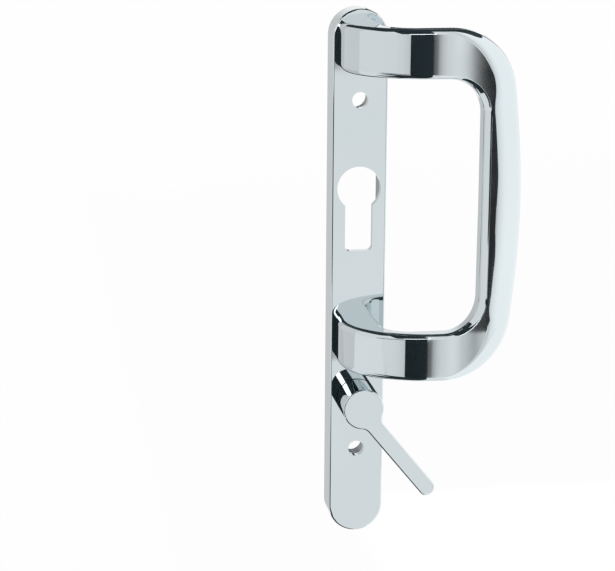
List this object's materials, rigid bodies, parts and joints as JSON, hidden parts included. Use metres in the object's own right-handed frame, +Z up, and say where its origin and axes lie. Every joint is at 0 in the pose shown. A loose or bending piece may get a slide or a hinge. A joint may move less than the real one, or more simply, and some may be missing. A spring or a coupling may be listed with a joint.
{
  "type": "patio door handle",
  "caption": "Cranked D-pull door handle on a long round-ended backplate, with a profile-cylinder cut-out and a thumb lever that turns a square spindle.",
  "frame": {"origin": "middle of the backplate's back face, where it bears on the door", "axes": "+Z up along the backplate, +X across the door towards the grip, +Y into the door; the handle stands out towards -Y"},
  "size_m": [0.0689, 0.0855, 0.214],
  "materials": {
    "chrome": "polished chrome plate on a zinc casting",
    "steel": "bright zinc-plated steel",
    "spring_steel": "blackened spring steel",
    "nylon": "natural moulded nylon"
  },
  "bodies": {
    "handle": {"backplate": "chrome", "pull_handle": "chrome", "pull_screw_upper": "steel", "pull_washer_upper": "spring_steel", "pull_screw_lower": "steel", "pull_washer_lower": "spring_steel", "lever_bush": "nylon", "wave_washer": "spring_steel"},
    "lever": {"thumb_lever": "chrome", "stop_washer": "steel", "circlip": "spring_steel", "spindle": "steel", "grub_screw": "spring_steel"}
  },
  "joints": [
    {"name": "lever_turn", "type": "hinge", "parent": "handle", "child": "lever", "pos_m": [0, 0, -0.0502], "axis": [0, -1, 0], "range_deg": [-78, 0]}
  ]
}
